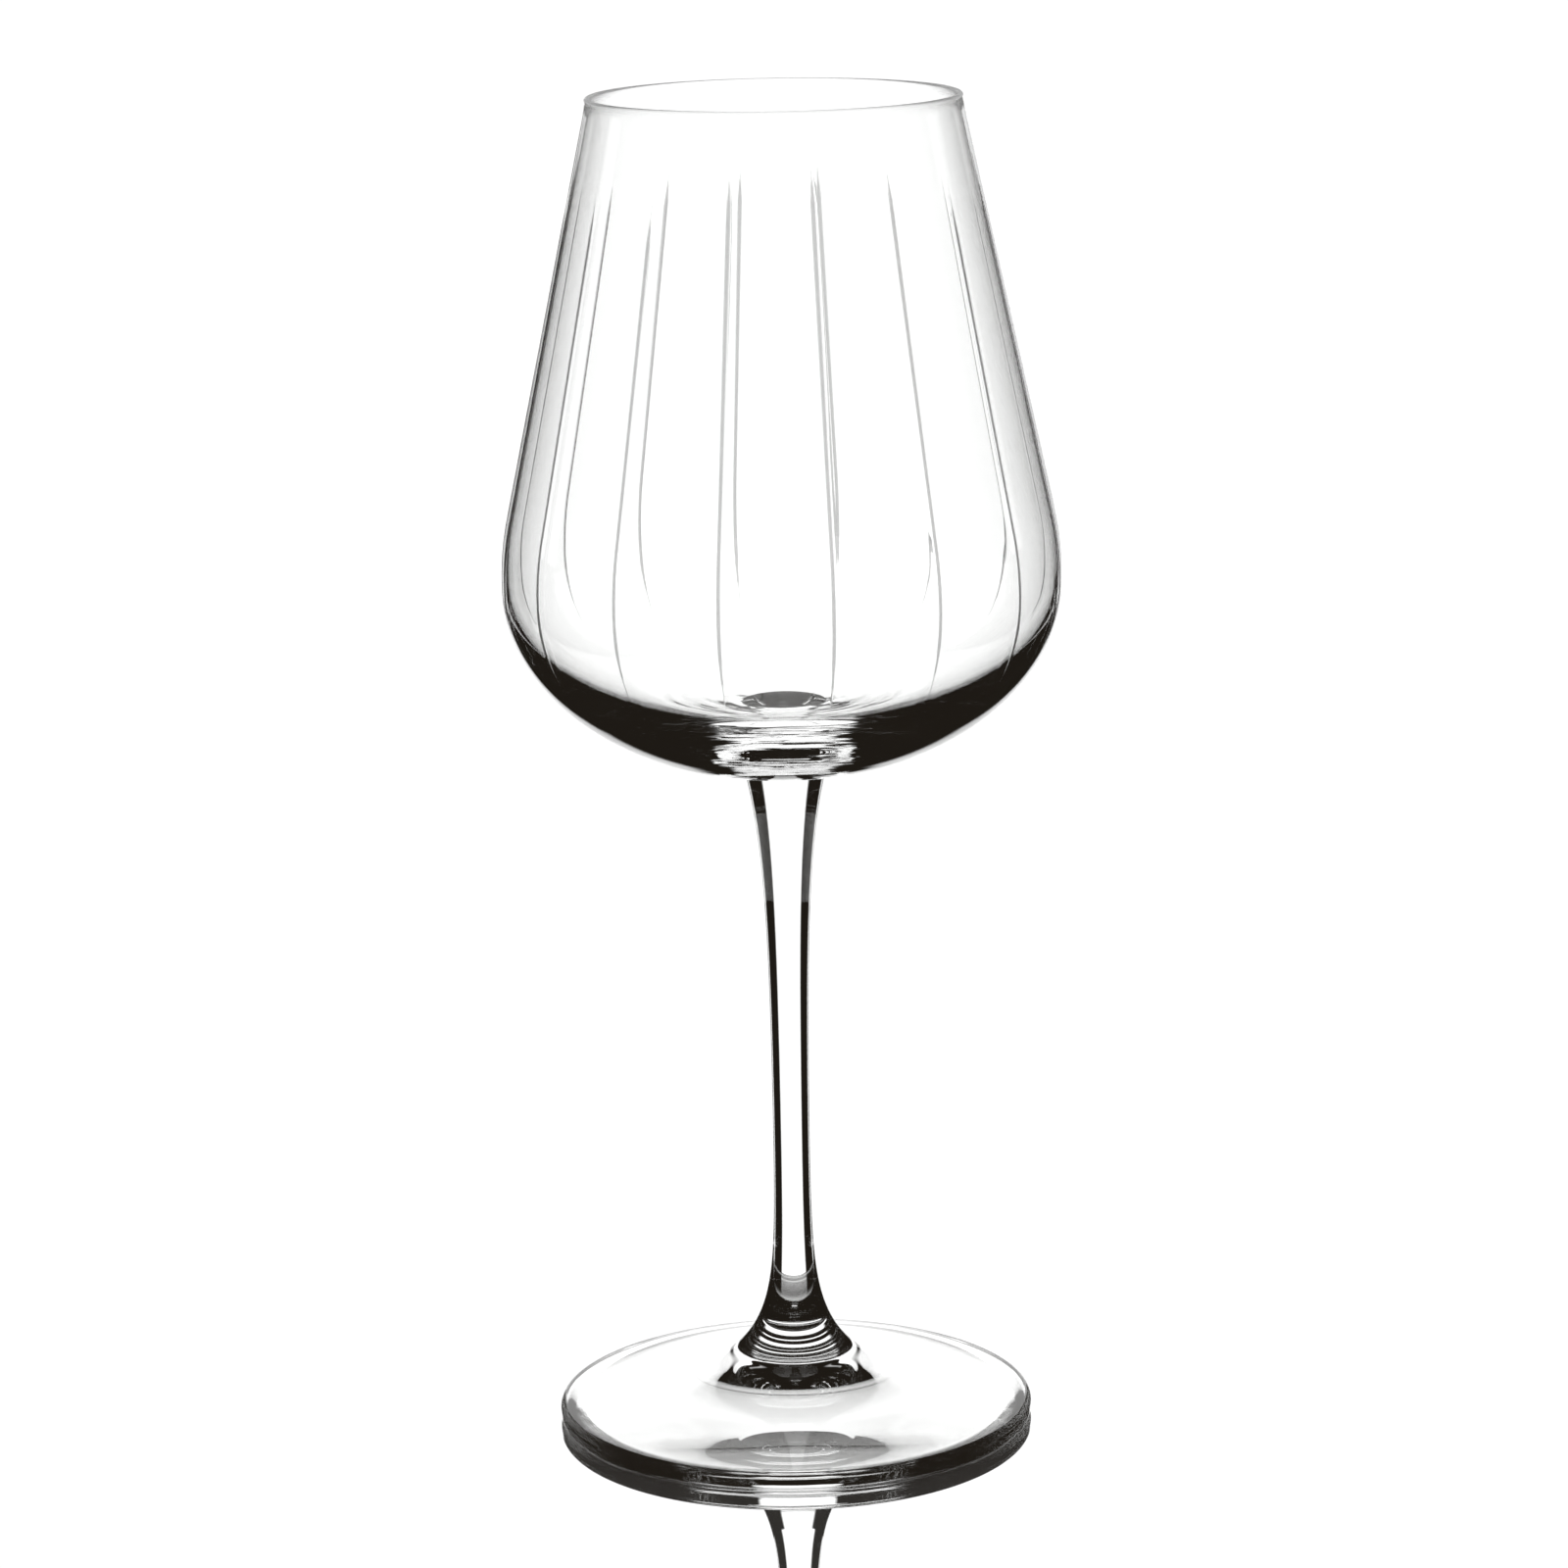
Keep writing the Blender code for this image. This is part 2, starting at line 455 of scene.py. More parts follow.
@dataclass
class TurnedPiece:
    """A piece of the glass that is turned about the axis, stands for its solid and rides on the body."""

    piece: GlassPiece
    finish: CrystalFinish

    def outline(self) -> list[Stretch]:
        """The outline to turn, from the axis round to the axis."""
        raise NotImplementedError

    def columns(self) -> list[float]:
        """Where the columns of points stand around the axis."""
        raise NotImplementedError

    def build(self) -> bpy.types.Object:
        """Turns the outline and puts the piece in the scene.

        Returns:
            The piece, without its finish.
        """
        mesh = turned_mesh(f"{self.piece.value}_glass", self.outline(), self.columns())
        glass = bpy.data.objects.new(mesh.name, mesh)
        bpy.context.scene.collection.objects.link(glass)
        return glass

    def dress(
        self, glass: bpy.types.Object, crystal: bpy.types.Material, joint: bpy.types.Material
    ) -> None:
        """Gives the piece its finish, with the clear seam on its joint faces.

        Args:
            glass: The built piece.
            crystal: The finish of its surface.
            joint: The seam's material.
        """
        mesh = glass.data
        mesh.materials.append(crystal)
        mesh.materials.append(joint)
        joints = [False] * len(mesh.polygons)
        mesh.attributes["joint"].data.foreach_get("value", joints)
        mesh.polygons.foreach_set("material_index", [int(is_joint) for is_joint in joints])

    def place(self, crystal: bpy.types.Material, joint: bpy.types.Material) -> bpy.types.Object:
        """Builds and dresses the piece and ties it to the frame.

        Args:
            crystal: The finish of its surface.
            joint: The seam's material.

        Returns:
            The finished piece.
        """
        glass = self.build()
        self.dress(glass, crystal, joint)
        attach(glass, BODY)
        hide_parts(self.piece.value)
        glass.data.calc_loop_triangles()
        log.info("%s: %d triangles", glass.name, len(glass.data.loop_triangles))
        return glass


@dataclass
class Stem(TurnedPiece):
    """The solid stem, drawn thin at its waist, with a flare at each end."""

    base_height: float = 0.0120
    length: float = 0.1005
    waist_radius: float = 0.0030
    top_flare: float = 0.0038
    top_flare_length: float = 0.0154
    foot_flare: float = 0.0070
    foot_flare_length: float = 0.0066
    joint_gap: float = 0.0003
    seam_round: float = 0.00032
    rows: int = 170
    row_crowding: float = 1.3
    column_count: int = 240

    @property
    def lower_joint(self) -> float:
        """Height of the seam with the foot."""
        return self.base_height - self.joint_gap / 2

    @property
    def upper_joint(self) -> float:
        """Height of the seam with the bowl."""
        return self.base_height + self.length + self.joint_gap / 2

    def radius_at(self, height: float) -> float:
        """Radius of the stem.

        Args:
            height: Height above the table.

        Returns:
            The radius of the waist with both flares.
        """
        above = height - self.base_height
        top = self.top_flare * math.exp((above - self.length) / self.top_flare_length)
        foot = self.foot_flare * math.exp(-above / self.foot_flare_length)
        return self.waist_radius + top + foot

    def seam_depth(self, height: float) -> float:
        """How far the rounded end of the flare lies inside its straight run, near the seam with the foot.

        Args:
            height: Height above the table.

        Returns:
            The depth of the seam's groove.
        """
        near = (height - self.lower_joint) / self.seam_round
        return self.seam_round * math.exp(-(near**2))

    def outline(self) -> list[Stretch]:
        """The outline of the stem, with its rows closer together towards the foot.

        Returns:
            The top joint, the side and the foot joint.
        """
        top, bottom = self.upper_joint, self.lower_joint
        side: list[Point] = []
        for share in shares(self.rows):
            height = bottom + (top - bottom) * (1 - share) ** self.row_crowding
            side.append((self.radius_at(height) - self.seam_depth(height), height))
        return [
            Stretch(Region.JOINT, [(0.0, top), side[0]]),
            Stretch(Region.OUTSIDE, side),
            Stretch(Region.JOINT, [side[-1], (0.0, bottom)]),
        ]

    def columns(self) -> list[float]:
        """Evenly spread columns."""
        return even_columns(self.column_count)


@dataclass
class Foot(TurnedPiece):
    """The round foot: a shallow cone above, a dished underside and a flat ring that stands on the table."""

    stem: Stem
    radius: float = 0.0403
    edge_height: float = 0.0033
    edge_round: float = 0.0012
    hub_height: float = 0.0117
    fillet_rise: float = 0.0013
    rest_ring_width: float = 0.0034
    hollow: float = 0.0058
    dish_power: float = 1.6
    top_rows: int = 96
    top_crowding: float = 2.4
    edge_rows: int = 14
    hollow_rows: int = 56
    column_count: int = 176

    def top(self) -> list[Point]:
        """The top face, from the hub out to the edge.

        Returns:
            Points of the fillet round the stem and the straight cone.
        """
        stem = self.stem
        hub_radius = stem.radius_at(stem.base_height)
        span = self.radius - self.edge_round - hub_radius
        cone_fall = (self.hub_height - self.fillet_rise - self.edge_height) / span
        hub_fall = stem.foot_flare_length / stem.foot_flare
        fillet_length = self.fillet_rise / (hub_fall - cone_fall)
        points: list[Point] = []
        for share in shares(self.top_rows):
            out = span * share**self.top_crowding
            fillet = self.fillet_rise * math.exp(-out / fillet_length)
            height = self.edge_height + cone_fall * (span - out) + fillet
            groove = stem.seam_depth(stem.lower_joint + self.hub_height - height)
            points.append((hub_radius + out - groove, height))
        joint_radius = stem.radius_at(stem.lower_joint) - stem.seam_depth(stem.lower_joint)
        return [(joint_radius, stem.lower_joint)] + points[1:]

    def outline(self) -> list[Stretch]:
        """The outline of the foot.

        Returns:
            The hub's joint, then the top, the rounded edge, the rest ring and the dished underside.
        """
        top = self.top()
        edge = self.radius - self.edge_round
        ring = edge - self.rest_ring_width
        quarter = math.pi / 2
        upper, lower = (edge, self.edge_height - self.edge_round), (edge, self.edge_round)
        side = top[:-1]
        side += arc(upper, self.edge_round, quarter, 0.0, self.edge_rows)
        side += arc(lower, self.edge_round, 0.0, -quarter, self.edge_rows)
        for share in shares(self.hollow_rows):
            rest = 1 - share
            side.append((ring * rest, self.hollow * (1 - rest**self.dish_power)))
        side[-1] = (0.0, self.hollow)
        return [
            Stretch(Region.JOINT, [(0.0, top[0][1]), top[0]]),
            Stretch(Region.OUTSIDE, side),
        ]

    def columns(self) -> list[float]:
        """Evenly spread columns."""
        return even_columns(self.column_count)


@dataclass(frozen=True)
class CutLines:
    """The fine lines ground down the outside of the bowl, with pointed ends."""

    count: int = 16
    first_turn: float = math.radians(-80.0)
    half_width: float = 0.00036
    depth: float = 0.00010
    top: float = 0.2102
    bottom: float = 0.1312
    top_point: float = 0.0060
    bottom_point: float = 0.0120
    raised_lines: int = 3
    raise_height: float = 0.0055
    wander: float = 0.0010
    seed: int = 5
    least_half_width: float = 1e-6
    tip_gain: float = 8.0
    flank_gain: float = 4.0

    @property
    def pitch(self) -> float:
        """Angle from one line to the next."""
        return math.tau / self.count

    def tree(self) -> bpy.types.NodeTree:
        """Builds the Geometry Nodes that grind the lines into a turned bowl.

        Returns:
            The tree. It lowers the outside along each line and keeps how ground it is in an attribute.
        """
        tree = bpy.data.node_groups.new("cut_lines", "GeometryNodeTree")
        tree.is_modifier = True
        tree.interface.new_socket("Geometry", in_out="INPUT", socket_type="NodeSocketGeometry")
        for kind, names in (
            ("NodeSocketInt", ("Line Count", "Raised Lines", "Seed")),
            ("NodeSocketFloat", ("First Turn", "Half Width", "Depth", "Raise Height", "Wander")),
            ("NodeSocketFloat", ("Top", "Bottom", "Top Point", "Bottom Point")),
            ("NodeSocketMaterial", ("Crystal", "Joint")),
        ):
            for name in names:
                tree.interface.new_socket(name, in_out="INPUT", socket_type=kind)
        tree.interface.new_socket("Geometry", in_out="OUTPUT", socket_type="NodeSocketGeometry")
        bench = NodeBench(tree)
        given = bench.add("NodeGroupInput").outputs

        place = bench.add("ShaderNodeSeparateXYZ")
        bench.feed(place.inputs[0], bench.add("GeometryNodeInputPosition").outputs[0])
        x, y, height = place.outputs
        pitch = bench.math("DIVIDE", math.tau, given["Line Count"])
        turn = bench.math("SUBTRACT", bench.math("ARCTAN2", y, x), given["First Turn"])
        turns = bench.math("DIVIDE", turn, pitch)
        nearest = bench.math("ROUND", turns)
        line = bench.math("FLOORED_MODULO", nearest, given["Line Count"])
        aside = bench.math("ABSOLUTE", bench.math("SUBTRACT", turns, nearest))
        distance = bench.math("MULTIPLY", bench.math("MULTIPLY", aside, pitch), bench.across(x, y))

        chance = bench.add("FunctionNodeRandomValue", data_type="FLOAT")
        bench.feed(chance.inputs[2], -1.0)
        bench.feed(chance.inputs[3], 1.0)
        bench.feed(chance.inputs["ID"], line)
        bench.feed(chance.inputs["Seed"], given["Seed"])
        stray = bench.math("MULTIPLY", chance.outputs[1], given["Wander"])
        is_raised = bench.math("LESS_THAN", line, given["Raised Lines"])
        raised = bench.math("MULTIPLY", is_raised, given["Raise Height"])
        top = bench.math("ADD", bench.math("ADD", given["Top"], stray), raised)
        bottom = bench.math("SUBTRACT", given["Bottom"], stray)
        below_top = bench.ramp(height, bench.math("SUBTRACT", top, given["Top Point"]), top, 1.0, 0.0)
        above_bottom = bench.ramp(height, bottom, bench.math("ADD", bottom, given["Bottom Point"]))
        reach = bench.math("MULTIPLY", below_top, above_bottom)

        narrowed = bench.math("MULTIPLY", given["Half Width"], reach)
        half = bench.math("MAXIMUM", narrowed, self.least_half_width)
        outside = bench.add("GeometryNodeInputNamedAttribute", data_type="FLOAT")
        bench.feed(outside.inputs["Name"], "outside")
        inward = bench.inverse(bench.math("DIVIDE", distance, half))
        hollow = bench.math("MULTIPLY", bench.math("MAXIMUM", inward, 0.0), outside.outputs[0])
        # This mask sets the lines' roughness, and the bowl's material also uses it for their painted grey
        # shade.
        satin_and_shade = bench.math("MINIMUM", bench.math("MULTIPLY", hollow, self.flank_gain), 1.0)
        started = bench.math("MINIMUM", bench.math("MULTIPLY", reach, self.tip_gain), 1.0)
        ground = bench.math("MULTIPLY", satin_and_shade, started)

        sink = bench.add("ShaderNodeVectorMath", operation="SCALE")
        bench.feed(sink.inputs[0], bench.add("GeometryNodeInputNormal").outputs[0])
        down = bench.math("MULTIPLY", bench.math("MULTIPLY", hollow, reach), given["Depth"])
        bench.feed(sink.inputs["Scale"], bench.math("MULTIPLY", down, -1.0))
        pressed = bench.add("GeometryNodeSetPosition")
        bench.feed(pressed.inputs["Geometry"], given["Geometry"])
        bench.feed(pressed.inputs["Offset"], sink.outputs[0])
        marked = bench.add("GeometryNodeStoreNamedAttribute", data_type="FLOAT", domain="POINT")
        bench.feed(marked.inputs["Geometry"], pressed.outputs[0])
        bench.feed(marked.inputs["Name"], "ground")
        bench.feed(marked.inputs["Value"], ground)

        solid = bench.add("GeometryNodeRealizeInstances")
        bench.feed(solid.inputs["Geometry"], marked.outputs[0])
        dressed = bench.add("GeometryNodeSetMaterial")
        bench.feed(dressed.inputs["Geometry"], solid.outputs[0])
        bench.feed(dressed.inputs["Material"], given["Crystal"])
        seam = bench.add("GeometryNodeInputNamedAttribute", data_type="BOOLEAN")
        bench.feed(seam.inputs["Name"], "joint")
        sealed = bench.add("GeometryNodeSetMaterial")
        bench.feed(sealed.inputs["Geometry"], dressed.outputs[0])
        bench.feed(sealed.inputs["Selection"], seam.outputs[0])
        bench.feed(sealed.inputs["Material"], given["Joint"])
        bench.feed(bench.add("NodeGroupOutput").inputs[0], sealed.outputs[0])
        return tree

    def inputs(self, crystal: bpy.types.Material, joint: bpy.types.Material) -> dict[str, object]:
        """The tree's inputs by name.

        Args:
            crystal: The finish of the bowl's surface.
            joint: The seam's material.

        Returns:
            A value for each named input.
        """
        return {
            "Line Count": self.count,
            "Raised Lines": self.raised_lines,
            "Seed": self.seed,
            "First Turn": self.first_turn,
            "Half Width": self.half_width,
            "Depth": self.depth,
            "Raise Height": self.raise_height,
            "Wander": self.wander,
            "Top": self.top,
            "Bottom": self.bottom,
            "Top Point": self.top_point,
            "Bottom Point": self.bottom_point,
            "Crystal": crystal,
            "Joint": joint,
        }


@dataclass
class Bowl(TurnedPiece):
    """The blown bowl: a thick base, a full belly and straight sides that close in to a polished rim."""

    stem: Stem
    lines: CutLines = field(default_factory=CutLines)
    height: float = 0.1122
    belly_height: float = 0.0336
    belly_radius: float = 0.0466
    shoulder_radius: float = 0.0480
    rim_radius: float = 0.0307
    rim_wall: float = 0.0011
    belly_wall: float = 0.0014
    base_thickness: float = 0.0062
    floor_rise: float = 0.0026
    floor_rise_radius: float = 0.0112
    outer_fullness: float = 2.08
    inner_fullness: float = 2.20
    straight_rows: int = 30
    shoulder_rows: int = 16
    outer_rows: int = 46
    inner_rows: int = 44
    rim_rows: int = 16
    line_columns: tuple[float, ...] = (-3.0, -1.8, -1.0, -0.66, -0.33, 0.0, 0.33, 0.66, 1.0, 1.8, 3.0)
    plain_columns: int = 9

    @property
    def seat(self) -> float:
        """Height of the bowl's flat seat on the stem."""
        return self.stem.upper_joint + self.stem.joint_gap / 2

    def side(self, rim: float, belly: float, shoulder: float) -> list[Point]:
        """The straight side and the shoulder, from under the rim down to the belly.

        Args:
            rim: Radius at the rim.
            belly: Radius at the belly.
            shoulder: Radius of the arc between them.

        Returns:
            Points above the seat.
        """
        centre = belly - shoulder
        rise = self.height - self.belly_height
        angle = math.atan2(rise, rim - centre) - math.acos(shoulder / math.hypot(rim - centre, rise))
        bend = arc((centre, self.belly_height), shoulder, angle, 0.0, self.shoulder_rows)
        top = self.height - self.rim_wall / 2
        start = (rim + (bend[0][0] - rim) * (self.height - top) / (self.height - bend[0][1]), top)
        straight = [
            (start[0] + (bend[0][0] - start[0]) * share, start[1] + (bend[0][1] - start[1]) * share)
            for share in shares(self.straight_rows)
        ]
        return straight[:-1] + bend

    def below_belly(
        self, belly: float, depth: float, last_radius: float, fullness: float, rows: int
    ) -> list[Point]:
        """The lower bowl, in from the belly.

        Args:
            belly: Radius at the belly.
            depth: How far below the belly the whole curve reaches the axis.
            last_radius: Where the curve stops.
            fullness: 2 for an ellipse, and more for a fuller curve.
            rows: How many steps it takes.

        Returns:
            Points above the seat.
        """
        last_turn = math.acos((last_radius / belly) ** (fullness / 2))
        turns = [last_turn * share for share in shares(rows)]
        return [
            (
                belly * max(math.cos(turn), 0.0) ** (2 / fullness),
                self.belly_height - depth * math.sin(turn) ** (2 / fullness),
            )
            for turn in turns
        ]

    def inner_wall(self) -> list[Point]:
        """The inside, with the low swelling in the middle of its floor.

        Returns:
            Points above the seat, from the middle of the floor up to the rim.
        """
        belly = self.belly_radius - self.belly_wall
        wall = self.side(self.rim_radius - self.rim_wall, belly, self.shoulder_radius - self.belly_wall)
        depth = self.belly_height - self.base_thickness
        floor = self.below_belly(belly, depth, 0.0, self.inner_fullness, self.inner_rows)
        floor[-1] = (0.0, self.base_thickness)
        swollen = [
            (radius, height + self.floor_rise * math.exp(-((radius / self.floor_rise_radius) ** 2)))
            for radius, height in floor
        ]
        return (wall[:-1] + swollen)[::-1]

    def outer_wall(self) -> list[Point]:
        """The outside.

        Returns:
            Points above the seat, from the rim down to the seam with the stem.
        """
        seat_radius = self.stem.radius_at(self.stem.base_height + self.stem.length)
        seat_share = (seat_radius / self.belly_radius) ** self.outer_fullness
        depth = self.belly_height / (1 - seat_share) ** (1 / self.outer_fullness)
        wall = self.side(self.rim_radius, self.belly_radius, self.shoulder_radius)
        under = self.below_belly(
            self.belly_radius, depth, seat_radius, self.outer_fullness, self.outer_rows
        )
        seam = (self.stem.radius_at(self.stem.upper_joint), -self.stem.joint_gap / 2)
        return wall[:-1] + under + [seam]

    def outline(self) -> list[Stretch]:
        """The outline of the bowl.

        Returns:
            The inside, the rounded rim, the outside and the seam.
        """
        inner, outer = self.inner_wall(), self.outer_wall()
        middle = ((inner[-1][0] + outer[0][0]) / 2, inner[-1][1])
        radius = (outer[0][0] - inner[-1][0]) / 2
        squash = self.rim_wall / 2 / radius
        ring = arc(middle, radius, math.pi, 0.0, self.rim_rows)
        lip = [(r, middle[1] + (z - middle[1]) * squash) for r, z in ring]
        stretches = [
            Stretch(Region.INSIDE, inner),
            Stretch(Region.LIP, lip),
            Stretch(Region.OUTSIDE, outer),
            Stretch(Region.JOINT, [outer[-1], (0.0, outer[-1][1])]),
        ]
        return [Stretch(part.region, [(r, z + self.seat) for r, z in part.points]) for part in stretches]

    def columns(self) -> list[float]:
        """Columns close together across each cut line, and wider apart between the lines.

        Returns:
            Their angles around the axis.
        """
        half = self.lines.half_width / self.belly_radius
        near = [offset * half for offset in self.line_columns]
        gap = self.lines.pitch - near[-1] + near[0]
        between = [near[-1] + gap * share for share in shares(self.plain_columns)[1:-1]]
        starts = [self.lines.first_turn + self.lines.pitch * line for line in range(self.lines.count)]
        return [start + angle for start in starts for angle in near + between]

    def dress(
        self, glass: bpy.types.Object, crystal: bpy.types.Material, joint: bpy.types.Material
    ) -> None:
        """Grinds the cut lines and sets both materials, and keeps the result as a plain mesh.

        Args:
            glass: The turned bowl.
            crystal: The finish of its surface.
            joint: The seam's material.
        """
        tree = self.lines.tree()
        grinding = glass.modifiers.new("Cut lines", "NODES")
        grinding.node_group = tree
        values = self.lines.inputs(crystal, joint)
        for item in tree.interface.items_tree:
            if item.in_out == "INPUT" and item.name in values:
                grinding[item.identifier] = values[item.name]
        evaluated = glass.evaluated_get(bpy.context.evaluated_depsgraph_get())
        mesh = bpy.data.meshes.new_from_object(evaluated)
        glass.modifiers.remove(grinding)
        glass.data = mesh


@dataclass(frozen=True)
class PhotoCamera:
    """The camera that took the photograph, as fitted to the outline of the glass."""

    azimuth: float = math.radians(22.5)
    distance: float = 0.8473
    height: float = 0.3004
    aside: float = -0.000226
    pitch: float = math.radians(12.649)
    roll: float = math.radians(1.002)
    focal_pixels: float = 5303.5
    image_pixels: float = 1600.0
    sensor: float = 36.0
    nearest: float = 0.01

    def place(self) -> bpy.types.Object:
        """Puts the camera in the scene.

        Returns:
            The camera.
        """
        data = bpy.data.cameras.new("photo_camera")
        data.sensor_width = self.sensor
        data.lens = self.sensor * self.focal_pixels / self.image_pixels
        data.clip_start = self.nearest
        forward = Vector((0.0, math.cos(self.pitch), -math.sin(self.pitch)))
        level = Vector((1.0, 0.0, 0.0))
        upright = level.cross(forward)
        right = math.cos(self.roll) * level - math.sin(self.roll) * upright
        up = math.sin(self.roll) * level + math.cos(self.roll) * upright
        stand = Vector((self.aside, -self.distance, self.height))
        rows = [(right[axis], up[axis], -forward[axis], stand[axis]) for axis in range(3)]
        camera = bpy.data.objects.new("photo_camera", data)
        camera.matrix_world = Matrix.Rotation(self.azimuth, 4, "Z") @ Matrix(rows + [(0.0, 0.0, 0.0, 1.0)])
        bpy.context.scene.collection.objects.link(camera)
        bpy.context.scene.camera = camera
        return camera


@dataclass(frozen=True)
class PathKinds:
    """How a light path has met the glass: how often it turned, and a mask for each kind of path."""

    turns: bpy.types.NodeSocket
    seen: bpy.types.NodeSocket
    met: bpy.types.NodeSocket
    fused: bpy.types.NodeSocket
    wall: bpy.types.NodeSocket
    stem: bpy.types.NodeSocket
    deep: bpy.types.NodeSocket
    sheen: bpy.types.NodeSocket
    thin: bpy.types.NodeSocket


@dataclass(frozen=True)
class Studio:
    """A white studio with a bright table, and dark flags that draw the edges of the glass."""

    facing: float = math.radians(22.5)
    table_width: float = 12.0
    table_drop: float = 0.00002
    table_colour: tuple[float, float, float, float] = (1.0, 1.0, 1.0, 1.0)
    table_gloss: float = 0.98
    table_roughness: float = 0.02
    flag_colour: tuple[float, float, float, float] = (0.010, 0.008, 0.006, 1.0)
    white: tuple[float, float, float, float] = (1.0, 1.0, 1.0, 1.0)
    wall_flags: Flags = ((33.0, 58.0), (77.0, 103.0), (122.0, 148.0))
    stem_flags: Flags = ((26.0, 62.0), (73.0, 106.0), (119.0, 150.0))
    deep_flags: Flags = ((20.0, 200.0),)
    sheen_flags: Flags = ((16.0, 200.0),)
    flag_softness: float = 2.0
    backdrop_top: float = 30.5
    top_softness: float = 2.5
    overhead_start: float = 58.0
    overhead_softness: float = 12.0
    overhead_light: float = 0.45
    long_path: float = 80.0
    long_light: float = 0.9
    any_count: float = 0.5
    few_turns: float = 2.5
    one_wall: float = 2.5
    two_walls: float = 3.5
    down_and_up: float = 4.0
    fill: float = 1.05
    glass_light: float = 1.30
    bounces: int = 160

    def table(self) -> bpy.types.Object:
        """Builds the pale, shiny table.

        Returns:
            The table.
        """
        mesh = bpy.data.meshes.new("table")
        half = self.table_width / 2
        corners = [(-half, -half), (half, -half), (half, half), (-half, half)]
        mesh.from_pydata([(x, y, -self.table_drop) for x, y in corners], [], [(0, 1, 2, 3)])
        table = bpy.data.objects.new("table", mesh)
        bpy.context.scene.collection.objects.link(table)
        mesh.materials.append(self.table_material())
        return table

    def table_material(self) -> bpy.types.Material:
        """Makes a glossy white table top, which is all mirror to light that has met the glass.

        Returns:
            The material.
        """
        material = bpy.data.materials.new("table_gloss")
        material.use_nodes = True
        material.node_tree.nodes.clear()
        bench = NodeBench(material.node_tree)
        matt = bench.add("ShaderNodeBsdfDiffuse")
        bench.feed(matt.inputs["Color"], self.table_colour)
        shiny = bench.add("ShaderNodeBsdfGlossy")
        bench.feed(shiny.inputs["Color"], self.table_colour)
        bench.feed(shiny.inputs["Roughness"], self.table_roughness)
        seen = bench.add("ShaderNodeLightPath").outputs["Is Camera Ray"]
        mix = bench.add("ShaderNodeMixShader")
        bench.feed(mix.inputs[0], bench.ramp(seen, 0.0, 1.0, 1.0, self.table_gloss))
        bench.feed(mix.inputs[1], matt.outputs[0])
        bench.feed(mix.inputs[2], shiny.outputs[0])
        bench.feed(bench.add("ShaderNodeOutputMaterial").inputs["Surface"], mix.outputs[0])
        return material

    def flag_shade(
        self, bench: NodeBench, aside: bpy.types.NodeSocket, flags: Flags
    ) -> bpy.types.NodeSocket:
        """Adds the shade of a set of flags.

        Args:
            bench: The world's nodes.
            aside: Angle away from the middle of the backdrop.
            flags: Where each flag starts and ends, in degrees on both sides.

        Returns:
            A mask, 1 on the flags.
        """
        soft = math.radians(self.flag_softness)
        shade: Value = 0.0
        for start, end in flags:
            first, last = math.radians(start), math.radians(end)
            into = bench.ramp(aside, first - soft, first + soft)
            out = bench.ramp(aside, last - soft, last + soft, 1.0, 0.0)
            shade = bench.any_of(shade, bench.all_of(into, out))
        return shade

    def path_kinds(self, bench: NodeBench) -> PathKinds:
        """Sorts light paths by how often they have crossed the glass and turned in it.

        Args:
            bench: The world's nodes.

        Returns:
            The kinds of path.
        """
        path = bench.add("ShaderNodeLightPath").outputs
        seen, crossing = path["Is Camera Ray"], path["Is Transmission Ray"]
        crossings = path["Transmission Depth"]
        turns = bench.math("SUBTRACT", path["Ray Depth"], crossings)
        crossed = bench.math("GREATER_THAN", crossings, self.any_count)
        often = bench.math("GREATER_THAN", turns, self.few_turns)
        met = bench.all_of(bench.any_of(path["Is Singular Ray"], often, crossed), bench.inverse(seen))
        sheen = bench.math("LESS_THAN", crossings, self.any_count)
        plain = bench.all_of(bench.math("LESS_THAN", turns, self.few_turns), crossed)
        fused = bench.math("GREATER_THAN", path["Transparent Depth"], self.any_count)
        from_table = bench.inverse(bench.any_of(crossing, fused))
        wall = bench.all_of(plain, from_table, bench.math("GREATER_THAN", crossings, self.two_walls))
        far_wall = bench.all_of(bench.math("LESS_THAN", crossings, self.one_wall), from_table)
        twice = bench.math("COMPARE", crossings, self.down_and_up, self.any_count)
        through_foot = bench.all_of(twice, bench.all_of(crossing, bench.inverse(fused)))
        return PathKinds(
            turns=turns,
            seen=seen,
            met=met,
            fused=fused,
            wall=wall,
            stem=bench.math("SUBTRACT", plain, wall),
            deep=bench.math("SUBTRACT", bench.inverse(plain), sheen),
            sheen=sheen,
            thin=bench.any_of(far_wall, through_foot),
        )

